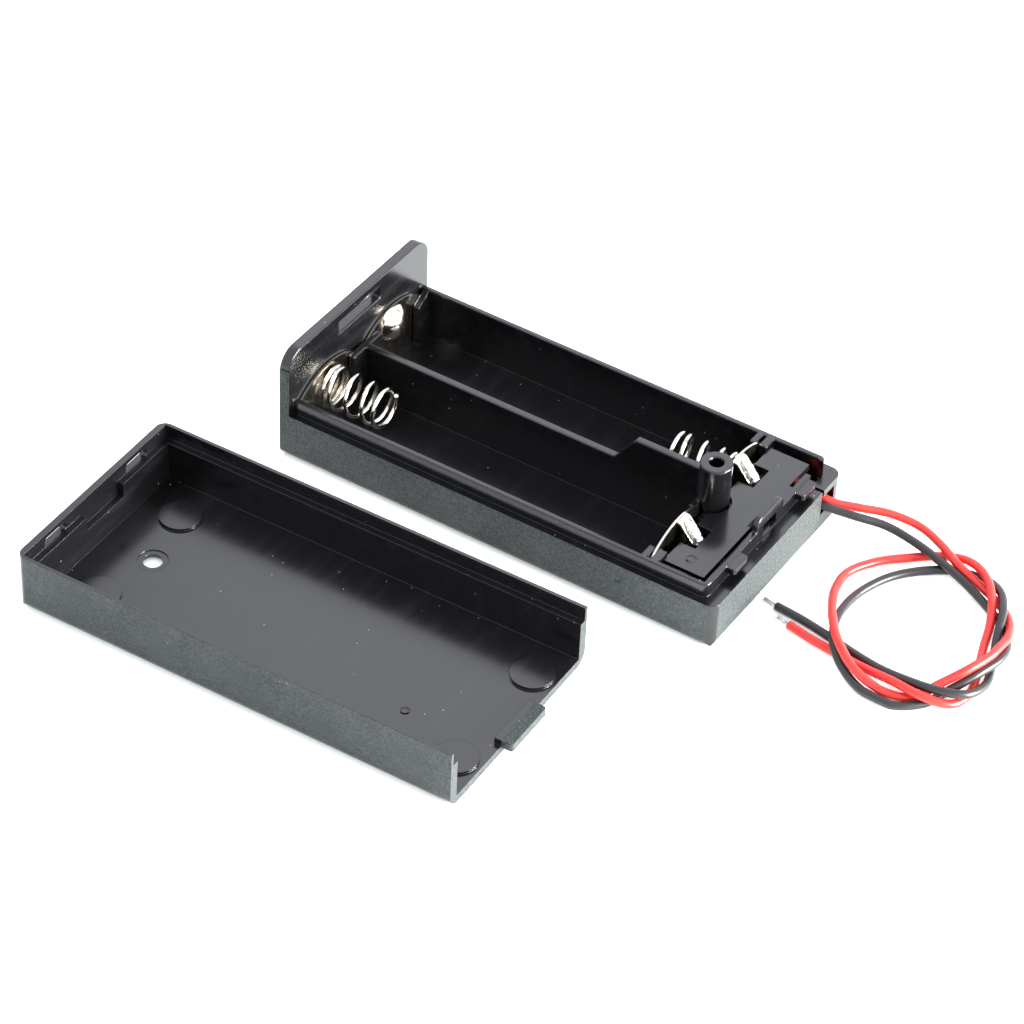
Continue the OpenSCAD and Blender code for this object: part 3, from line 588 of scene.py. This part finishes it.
def dress(obj: bpy.types.Object, material: bpy.types.Material) -> None:
    """Gives an object one material all over.

    Args:
        obj: The object.
        material: Its only material.
    """
    obj.data.materials.clear()
    obj.data.materials.append(material)


def swept_curve(name: str, points: list[tuple[float, float, float]], radius: float, sides: int,
                steps: int) -> bpy.types.Object:
    """Makes a round bar along points as one open curve with smooth handles.

    The handles stay in the points' own box, so the bar never reaches past the route.

    Args:
        name: Name of the object.
        points: Centre line in metres.
        radius: Radius of the bar.
        sides: Bevel resolution of the section.
        steps: Resolution between points.

    Returns:
        The curve object.
    """
    clear_selection()
    bpy.ops.curve.primitive_bezier_curve_add(location=(0.0, 0.0, 0.0))
    obj = bpy.context.object
    obj.name = name
    curve = obj.data
    curve.name = name
    curve.dimensions = "3D"
    curve.splines.clear()
    spline = curve.splines.new("BEZIER")
    spline.bezier_points.add(len(points) - 1)
    path = [Vector(p) for p in points]
    low, high = np.min(points, axis=0), np.max(points, axis=0)
    for i, (knot, here) in enumerate(zip(spline.bezier_points, path)):
        before = path[max(i - 1, 0)]
        after = path[min(i + 1, len(path) - 1)]
        way = (after - before).normalized()
        knot.co = here
        knot.handle_left_type = knot.handle_right_type = "FREE"
        knot.handle_left = np.clip(here - way * (here - before).length / 3, low, high)
        knot.handle_right = np.clip(here + way * (after - here).length / 3, low, high)
    curve.resolution_u = steps
    curve.render_resolution_u = steps
    curve.bevel_depth = radius
    curve.bevel_resolution = sides
    curve.use_fill_caps = True
    return obj


@dataclass(frozen=True)
class SoftBox:
    """One soft box: where it hangs, the point it faces, its width and height, and its power."""

    name: str
    place: tuple[float, float, float]
    aim: tuple[float, float, float]
    size: tuple[float, float]
    watts: float

    def hang(self) -> bpy.types.Object:
        """Adds the light.

        Returns:
            The light object.
        """
        clear_selection()
        bpy.ops.object.light_add(type="AREA", location=self.place)
        lamp = bpy.context.object
        lamp.name = self.name
        lamp.data.shape = "RECTANGLE"
        lamp.data.size, lamp.data.size_y = self.size
        lamp.data.energy = self.watts
        way = Vector(self.aim) - Vector(self.place)
        lamp.rotation_euler = way.to_track_quat("-Z", "Y").to_euler()
        return lamp


@dataclass
class StudioView:
    """Camera, lights and pale floor. The camera's axes are unit vectors; places are in metres."""

    eye: tuple[float, float, float] = (0.208211, -0.356096, 0.353963)
    right: tuple[float, float, float] = (0.83897, 0.54304, 0.03523)
    up: tuple[float, float, float] = (-0.37952, 0.53749, 0.75304)
    back: tuple[float, float, float] = (0.38999, -0.64515, 0.65703)
    lens_mm: float = 139.70
    sensor_mm: float = 36.0
    boxes: tuple[SoftBox, ...] = (
        SoftBox("right_box", (0.75, 0.2, 0.16), (0.03, -0.01, 0.0), (0.5, 0.26), 46.0),
        SoftBox("back_box", (-0.22, 0.6, 0.62), (0.02, -0.01, 0.0), (0.55, 0.5), 0.85),
    )
    sky: str = "#e8ebf6"
    sky_strength: float = 2.05
    floor_size: float = 4.0
    floor_gap_mm: float = 0.02
    paper_low: str = "#f7faf4"
    paper_high: str = "#fcfefa"
    paper_glow: str = "#fafdf7"
    glow_strength: float = 0.3
    fibre_mm: float = 1.1

    def place_camera(self) -> bpy.types.Object:
        """Places the camera at the picture's viewing angle.

        Returns:
            The camera object.
        """
        clear_selection()
        bpy.ops.object.camera_add()
        camera = bpy.context.object
        camera.name = "picture_camera"
        turn = Matrix((self.right, self.up, self.back)).transposed().to_4x4()
        camera.matrix_world = Matrix.Translation(self.eye) @ turn
        camera.data.lens = self.lens_mm
        camera.data.sensor_width = self.sensor_mm
        camera.data.clip_start = 0.01
        camera.data.clip_end = 20.0
        bpy.context.scene.camera = camera
        return camera

    def light(self) -> None:
        """Adds the soft boxes and the white surround."""
        for box in self.boxes:
            box.hang()
        world = bpy.data.worlds.new("studio_white")
        world.use_nodes = True
        surround = world.node_tree.nodes["Background"]
        surround.inputs["Color"].default_value = linear(self.sky)
        surround.inputs["Strength"].default_value = self.sky_strength
        bpy.context.scene.world = world
        # colours are shown as lit, so that the paper stays white and the sheath stays red
        bpy.context.scene.view_settings.view_transform = "Standard"

    def lay_floor(self) -> None:
        """Lays the sheet of white paper that the object rests on."""
        clear_selection()
        bpy.ops.mesh.primitive_plane_add(size=self.floor_size, location=(0.0, 0.0, -self.floor_gap_mm * MM))
        floor = bpy.context.object
        floor.name = "table_top"
        bpy.ops.object.transform_apply(location=True, rotation=False, scale=False)
        material, tree, output = new_material("white_paper")
        fibre = noise(tree, object_place(tree), self.fibre_mm, detail=2.0)
        tone = add_node(tree, "ShaderNodeValToRGB", links={"Fac": fibre})
        set_ramp(tone, [(0.0, linear(self.paper_low)), (1.0, linear(self.paper_high))])
        shader = add_node(tree, "ShaderNodeBsdfPrincipled",
                          values={"Roughness": 0.9, "Emission Color": linear(self.paper_glow),
                                  "Emission Strength": self.glow_strength},
                          links={"Base Color": tone.outputs["Color"]})
        tree.links.new(shader.outputs["BSDF"], output.inputs["Surface"])
        dress(floor, material)


@dataclass
class FlyingLead:
    """One insulated lead with its bared, tinned strands."""

    pole: Pole
    route: list[tuple[float, float, float]]
    exit_mm: tuple[float, float, float]
    sheath: LeadSheath
    strand_finish: bpy.types.Material
    slot: str
    diameter_mm: float = 1.2
    # the bared end: how far it stands out and how deep it starts in the sheath
    strand_mm: float = 2.2
    root_mm: float = 0.5
    # one strand runs in the middle, the others round it, twisted by an angle over their length
    ring_strands: int = 6
    ring_mm: float = 0.24
    strand_d_mm: float = 0.2
    twist: float = 1.6
    strand_steps: int = 6

    def length(self) -> float:
        """Returns the length of the route in metres."""
        points = np.array(self.route) * MM
        return float(np.linalg.norm(np.diff(points, axis=0), axis=1).sum())

    def strand_line(self, index: int) -> list[tuple[float, float, float]]:
        """Returns one strand's centre line, in metres.

        Every third strand has the same length and opens out by the same amount.

        Args:
            index: The strand's number; the last runs in the middle.

        Returns:
            Points from inside the sheath to the strand's tip.
        """
        end, before = (Vector(self.route[i]) * MM for i in (-1, -2))
        way = (end - before).normalized()
        across = Vector((0.0, 0.0, 1.0)).cross(way).normalized()
        rise = way.cross(across)
        kind = index % 3
        ring = 0.0 if index == self.ring_strands else self.ring_mm * MM
        points = []
        for step in range(self.strand_steps + 1):
            t = step / self.strand_steps
            turn = 2 * math.pi * index / self.ring_strands + self.twist * t
            flare = ring * (1.0 + (0.2 + 0.15 * kind) * t * t)
            offset = across * math.cos(turn) * flare + rise * math.sin(turn) * flare
            reach = (self.strand_mm * (0.92 + 0.04 * kind) * t - self.root_mm * (1 - t)) * MM
            points.append(tuple(end + way * reach + offset))
        return points

    def build_strands(self) -> bpy.types.Object:
        """Makes the twisted strands that stand out of the cut end.

        Returns:
            The strands as one mesh.
        """
        wires = []
        for index in range(self.ring_strands + 1):
            swept_curve(f"{self.pole.value}_strand_{index}", self.strand_line(index),
                        self.strand_d_mm * MM / 2, sides=2, steps=3)
            bpy.ops.object.convert(target="MESH")
            wires.append(bpy.context.object)
        clear_selection()
        for wire in wires:
            wire.select_set(True)
        bpy.context.view_layer.objects.active = wires[0]
        bpy.ops.object.join()
        strands = bpy.context.object
        strands.name = f"{self.pole.value}_bared_strands"
        bpy.ops.object.shade_smooth()
        dress(strands, self.strand_finish)
        return strands

    def build(self) -> None:
        """Makes the lead, dresses it and ties it to the frame."""
        points = [tuple(c * MM for c in p) for p in self.route]
        lead = swept_curve(f"{self.pole.value}_insulation", points, self.diameter_mm * MM / 2,
                           sides=6, steps=10)
        dress(lead, self.sheath.build())
        strands = self.build_strands()
        for piece in (lead, strands):
            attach(piece, "box")
        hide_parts(self.pole.value)
        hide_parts(f"{self.pole.value}_strands")
        LOG.info("%s: %.1f mm long", self.pole.value, self.length() / MM)


@dataclass
class ContactSpring:
    """One conical contact spring with closed end turns. Sizes and places are in millimetres."""

    name: str
    node: str
    plate_x: float
    axis_y: float
    direction: int
    axis_z: float = 7.3
    wire_d: float = 0.6
    base_d: float = 5.9
    tip_d: float = 5.3
    free_length: float = 9.6
    closed_base: float = 1.5
    open_turns: float = 2.8
    closed_tip: float = 1.0
    # rise of a closed turn in wire diameters, and points to a turn
    closed_rise: float = 1.08
    steps: int = 24

    def centre_line(self) -> list[tuple[float, float, float]]:
        """Returns the wire's centre line in metres."""
        closed = self.wire_d * self.closed_rise
        closed_turns = self.closed_base + self.closed_tip
        turns = closed_turns + self.open_turns
        pitch = (self.free_length - self.wire_d - closed_turns * closed) / self.open_turns
        points = []
        for i in range(int(turns * self.steps) + 1):
            a = i / self.steps
            r = (self.base_d + (self.tip_d - self.base_d) * a / turns) / 2
            rise = (self.wire_d / 2 + min(a, self.closed_base) * closed
                    + max(0.0, min(a - self.closed_base, self.open_turns)) * pitch
                    + max(0.0, a - self.closed_base - self.open_turns) * closed)
            x, y = r * math.cos(2 * math.pi * a), r * math.sin(2 * math.pi * a)
            points.append(((self.plate_x + self.direction * rise) * MM, (self.axis_y + y) * MM,
                           (self.axis_z - self.direction * x) * MM))
        return points

    def build(self, finish: bpy.types.Material) -> bpy.types.Object:
        """Makes the spring.

        Args:
            finish: Material of the plated wire.

        Returns:
            The spring as a mesh.
        """
        swept_curve(self.name, self.centre_line(), self.wire_d * MM / 2, sides=4, steps=2)
        bpy.ops.object.convert(target="MESH")
        spring = bpy.context.object
        bpy.ops.object.shade_smooth()
        dress(spring, finish)
        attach(spring, "box")
        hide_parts(self.node)
        LOG.info("%s: %d faces", self.name, len(spring.data.polygons))
        return spring


@dataclass
class SolderJoint:
    """One hand-made solder joint: the frame's smooth joint, melted into an uneven blob."""

    node: str
    source: bpy.types.Object
    weld_mm: float = 0.001
    voxel_mm: float = 0.11
    # lumps: their size, their height and the cloud's tone that stays level
    lump_mm: float = 0.55
    swell_mm: float = 0.3
    level: float = 0.62
    smoothing: float = 0.5
    smooth_passes: int = 2

    def build(self, finish: bpy.types.Material) -> bpy.types.Object:
        """Makes the joint.

        Args:
            finish: Material of the solder.

        Returns:
            The joint as a mesh.
        """
        clear_selection()
        blob = bpy.data.objects.new(f"{self.node}_blob", self.source.data.copy())
        bpy.context.collection.objects.link(blob)
        bpy.context.view_layer.objects.active = blob
        blob.select_set(True)
        bpy.ops.object.mode_set(mode="EDIT")
        bpy.ops.mesh.select_all(action="SELECT")
        bpy.ops.mesh.remove_doubles(threshold=self.weld_mm * MM)
        bpy.ops.object.mode_set(mode="OBJECT")
        corners = np.array([v.co for v in blob.data.vertices])
        low, high = corners.min(axis=0), corners.max(axis=0)
        cells = blob.modifiers.new("cells", "REMESH")
        cells.mode, cells.voxel_size = "VOXEL", self.voxel_mm * MM
        lumps = bpy.data.textures.new(f"{self.node}_lumps", "CLOUDS")
        lumps.noise_scale, lumps.noise_depth = self.lump_mm * MM, 2
        melt = blob.modifiers.new("melt", "DISPLACE")
        melt.texture, melt.texture_coords = lumps, "LOCAL"
        melt.strength, melt.mid_level = self.swell_mm * MM, self.level
        soften = blob.modifiers.new("soften", "SMOOTH")
        soften.factor, soften.iterations = self.smoothing, self.smooth_passes
        for modifier in [m.name for m in blob.modifiers]:
            bpy.ops.object.modifier_apply(modifier=modifier)
        # the lumps stay inside the frame's own joint
        for vertex in blob.data.vertices:
            vertex.co = np.clip(vertex.co, low, high)
        bpy.ops.object.shade_smooth()
        dress(blob, finish)
        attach(blob, "box")
        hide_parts(self.node)
        LOG.info("%s: %d faces", blob.name, len(blob.data.polygons))
        return blob


@dataclass
class CarriedNodes:
    """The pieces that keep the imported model's shape and get their finish here."""

    nodes: dict[str, bpy.types.Object]
    # the cover lies at a slight turn; its far wall's inner face starts at a corner
    cover_turn_deg: float = 1.3
    far_wall_mm: tuple[float, float] = (-45.1, -30.71)
    blister_radius_mm: float = 0.6
    blister_rise_mm: float = 0.1
    blisters_mm: tuple[tuple[float, float], ...] = (
        (-28.7, 4.4), (-21.6, 4.4), (-14.2, 4.7), (-8.6, 4.7), (-3.2, 4.5), (1.9, 5.2), (13.1, 4.3))

    def tray_finish(self) -> bpy.types.Material:
        """Returns the tray's plastic, with a sunk gate mark on each long side."""
        return MouldedPlastic(
            "black_abs_tray", centre_mm=(0.0, 0.0, 20.0), half_mm=(34.45, 16.85, 19.9),
            marks=(Mark((19.8, -16.9, 5.5), 1.0, 0.35), Mark((-2.0, 16.9, 5.0), 0.9, 0.25)),
            seam_x_mm=32.9, soft_above_mm=9.3).build()

    def blisters(self) -> tuple[Mark, ...]:
        """Returns the small blisters in a row along the cover's far wall."""
        corner_x, corner_y = self.far_wall_mm
        slope = math.tan(math.radians(self.cover_turn_deg))
        return tuple(
            Mark((x, corner_y + slope * (x - corner_x), z), self.blister_radius_mm, -self.blister_rise_mm)
            for x, z in self.blisters_mm)

    def cover_finish(self) -> bpy.types.Material:
        """Returns the cover's plastic, with a round mark on its floor."""
        return MouldedPlastic(
            "black_abs_cover", centre_mm=(-11.33, -44.84, 20.0), half_mm=(33.4, 16.34, 19.9),
            turn_deg=self.cover_turn_deg, marks=(Mark((8.6, -50.0, 1.3), 0.8, 0.15), *self.blisters()),
            # the cover's outer grey; its green tint is painted reflection of the pale floor
            seam_x_mm=-0.84, outer="#2c3533").build()

    def build(self) -> None:
        """Dresses every carried-over piece."""
        plate = MouldedPlastic("polished_black_abs", inner="#0c0c0e", inner_gloss=0.18, scuff_turn=1.2,
                               marks=(Mark((27.7, -11.7, 9.0), 0.9, 0.1),)).build()
        slider = MouldedPlastic("black_acetal_slider", inner="#101011", inner_gloss=0.38).build()
        nickel = NickelStrip("nickel_plated_strip").build()
        finishes = {
            "base_tray": self.tray_finish(), "cover": self.cover_finish(),
            "switch_slider": slider, "switch_retainer_plate": plate,
            "switch_bridge_contact": nickel, "switch_terminal_battery": nickel,
            "switch_terminal_lead": nickel, "end_bridge_contact": nickel,
            "positive_contact": nickel, "negative_contact": nickel,
        }
        for name, finish in finishes.items():
            dress(self.nodes[name], finish)
            LOG.info("%s dressed in %s", name, finish.name)


def main(model: dict[str, object]) -> None:
    """Builds every piece in order.
    """
    view = StudioView()
    view.place_camera()
    tin = Solder("tinned_strand", colour="#e6e5e2", frost="#c4c2bd").build()
    FlyingLead(Pole.POSITIVE, RED_ROUTE, exit_mm=(34.5, 13.55, 4.65), strand_finish=tin, slot="pvc_red",
               sheath=LeadSheath("red_pvc_sheath", colour="#d4281e", shade="#c6211a")).build()
    FlyingLead(Pole.NEGATIVE, BLACK_ROUTE, exit_mm=(34.47, 12.12, 4.7), strand_finish=tin, slot="pvc_black",
               sheath=LeadSheath("black_pvc_sheath", colour="#191818", shade="#131212")).build()
    CarriedNodes(model["nodes"]).build()
    wire = NickelStrip("nickel_plated_wire", colour="#d6d1c6", roughness=0.1).build()
    ContactSpring("end_bridge_coil", "end_bridge_spring",
                  plate_x=-32.55, axis_y=-7.8, direction=1).build(wire)
    ContactSpring("negative_coil", "negative_spring", plate_x=23.15, axis_y=7.8, direction=-1).build(wire)
    solder = Solder("tin_solder").build()
    for node in ("solder_positive_tab", "solder_negative_tab", "solder_red_lead"):
        SolderJoint(node, model["nodes"][node]).build(solder)
    view.light()
    view.lay_floor()


if __name__ == "__main__":
    logging.basicConfig(level=logging.INFO, format="%(name)s: %(message)s")
    main(frame)
